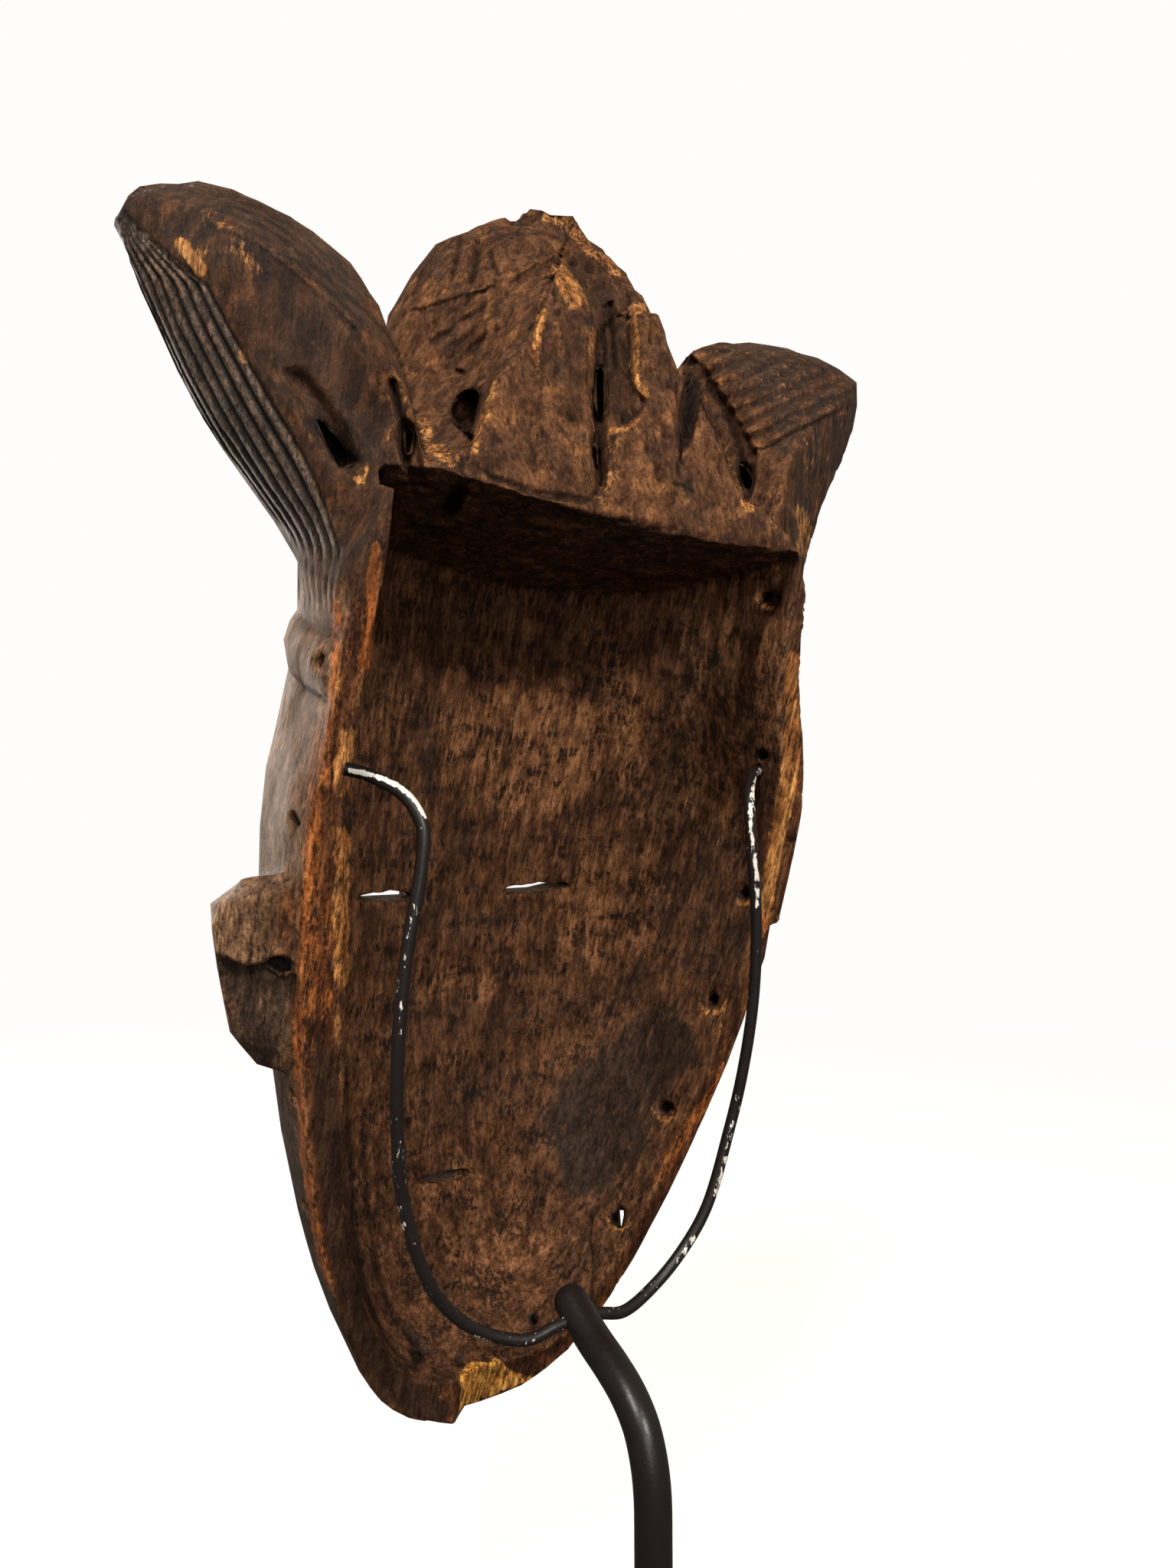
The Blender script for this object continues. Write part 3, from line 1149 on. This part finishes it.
def centripetal(points, per_span):
    """Points along a centripetal Catmull-Rom curve through all the given ones."""
    pts = [Vector(p) for p in points]
    pts = [2 * pts[0] - pts[1], *pts, 2 * pts[-1] - pts[-2]]
    out = []
    for k in range(1, len(pts) - 2):
        near = pts[k - 1:k + 3]
        t = [0.0]
        for a, b in zip(near, near[1:]):
            t.append(t[-1] + max((b - a).length, 1e-6) ** 0.5)
        for step in range(per_span):
            u = t[1] + (t[2] - t[1]) * step / per_span
            row = near
            for gap in (1, 2):
                row = [(a * (t[i + gap] - u) + b * (u - t[i])) / (t[i + gap] - t[i])
                       for i, (a, b) in enumerate(zip(row, row[1:]))]
            out.append((row[0] * (t[2] - u) + row[1] * (u - t[1])) / (t[2] - t[1]))
    return [*out, pts[-2]]


def make_bar(name, route, diameter, sides, round_start=False):
    """A round bar along a route in mm; round_start gives it a domed first end."""
    radius = diameter / 2
    spots = [(p, radius) for p in route]
    if round_start:
        back = (route[0] - route[1]).normalized()
        angles = [math.radians(d) for d in (80, 65, 50, 35, 20, 8)]
        spots = [(route[0] + back * radius * math.sin(a), radius * math.cos(a)) for a in angles] + spots
    centres = [centre for centre, _ in spots]
    turns = [2 * math.pi * j / sides for j in range(sides)]
    side = Vector((1, 0, 0))
    rings = []
    for k, (centre, size) in enumerate(spots):
        ahead = (centres[min(k + 1, len(spots) - 1)] - centres[max(k - 1, 0)]).normalized()
        side = (side - ahead * side.dot(ahead)).normalized()
        up = ahead.cross(side)
        rings.append([(centre + (side * math.cos(a) + up * math.sin(a)) * size) * MM for a in turns])
    bar = solid(name, rings)
    shade_smooth(bar.data)
    return bar


def stand_point(p):
    return Vector(p) + Vector(MASK_ORIGIN)


def make_stand(frame):
    right = [(-x, y, z) for x, y, z in reversed(WIRE_LEFT)]
    route = centripetal([stand_point(p) for p in [*WIRE_LEFT, ROD_EYE, *right]], 24)
    wire = make_bar("cradle_wire_painted", route, WIRE_DIAMETER, WIRE_SIDES)
    points, normals, _ = arrays(wire.data)
    facing = smooth(0, 0.2, -(normals * sight(points)).sum(1))
    add_mark(wire.data, "chipped", 0.8 * painted(photo_place(points), CHIP_LINES) * facing)
    points = [stand_point(p) for p in ROD_ROUTE]
    foot = Vector((0, points[-1].y, ROD_END_Z))
    route = centripetal([*points, points[-1].lerp(foot, 0.5), foot], 8)
    rod = make_bar("rod_painted", route, ROD_DIAMETER, ROD_SIDES, round_start=True)
    stand_in(wire, "cradle_wire", black_paint("black_wire", 0.42, True))
    stand_in(rod, "rod", black_paint("black_rod", 0.34, False))
    paint = black_paint("black_foot", 0.4, False)
    for slot in frame["nodes"]["foot_plate"].material_slots:
        slot.material = paint


def make_camera():
    data = bpy.data.cameras.new("camera")
    data.sensor_fit = "VERTICAL"
    data.sensor_height = SENSOR_MM
    data.sensor_width = SENSOR_MM
    data.lens = LENS_MM
    data.clip_start = 0.01
    camera = new_piece("camera", data)
    camera.location = CAMERA_PLACE
    camera.rotation_euler = CAMERA_LOOK.to_track_quat("-Z", "Y").to_euler()
    bpy.context.scene.camera = camera


def make_lights():
    for name, place, diameter, power, colour in LIGHTS:
        data = bpy.data.lights.new(name, "AREA")
        data.shape = "DISK"
        data.size = diameter
        data.energy = power
        data.color = colour
        light = new_piece(name, data)
        light.location = place
        light.rotation_euler = (Vector(LIGHT_TARGET) - Vector(place)).to_track_quat("-Z", "Y").to_euler()
        light.visible_camera = False


def make_world():
    """A white background for the camera, and softer light that is stronger from above than from below."""
    world = bpy.data.worlds.new("studio")
    bpy.context.scene.world = world
    world.use_nodes = True
    s = Nodes(world.node_tree)
    height = s.node("ShaderNodeSeparateXYZ", {0: s.coordinates("Generated")}).outputs["Z"]
    ambient = s.ramp(height, -0.5, 0.5, AMBIENT_BELOW, AMBIENT_ABOVE)
    seen = s.node("ShaderNodeLightPath").outputs["Is Camera Ray"]
    s.fill(s.tree.nodes["Background"], {
        "Color": s.blend(seen, AMBIENT_COLOUR, BACKGROUND_COLOUR),
        "Strength": s.ramp(seen, 0.0, 1.0, ambient, 1.0),
    })
    bpy.context.scene.view_settings.view_transform = "Standard"


def make_floor():
    """A bright floor that fades into the background and shows only a soft shadow."""
    bpy.ops.mesh.primitive_circle_add(vertices=96, radius=1.6, fill_type="NGON", location=(0, 0, -0.0005))
    floor = bpy.context.object
    floor.name = "floor"
    floor.visible_diffuse = False
    floor.visible_glossy = False
    s = Shader("floor")
    away = s.node("ShaderNodeVectorMath", {0: s.coordinates("Object")}, operation="LENGTH").outputs["Value"]
    clear = s.node("ShaderNodeBsdfTransparent").outputs[0]
    fade = {0: s.band(away, 0.35, 1.5), 1: s.surface.outputs[0], 2: clear}
    s.fill(s.output, {"Surface": s.node("ShaderNodeMixShader", fade).outputs[0]})
    floor.data.materials.append(s.finish({
        "Base Color": FLOOR_COLOUR,
        "Roughness": 0.6,
        "Emission Color": FLOOR_GLOW_COLOUR,
        "Emission Strength": 0.62,
    }))


def main():
    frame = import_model()
    make_camera()
    make_world()
    make_lights()
    make_floor()
    make_mask(frame)
    make_stand(frame)


main()
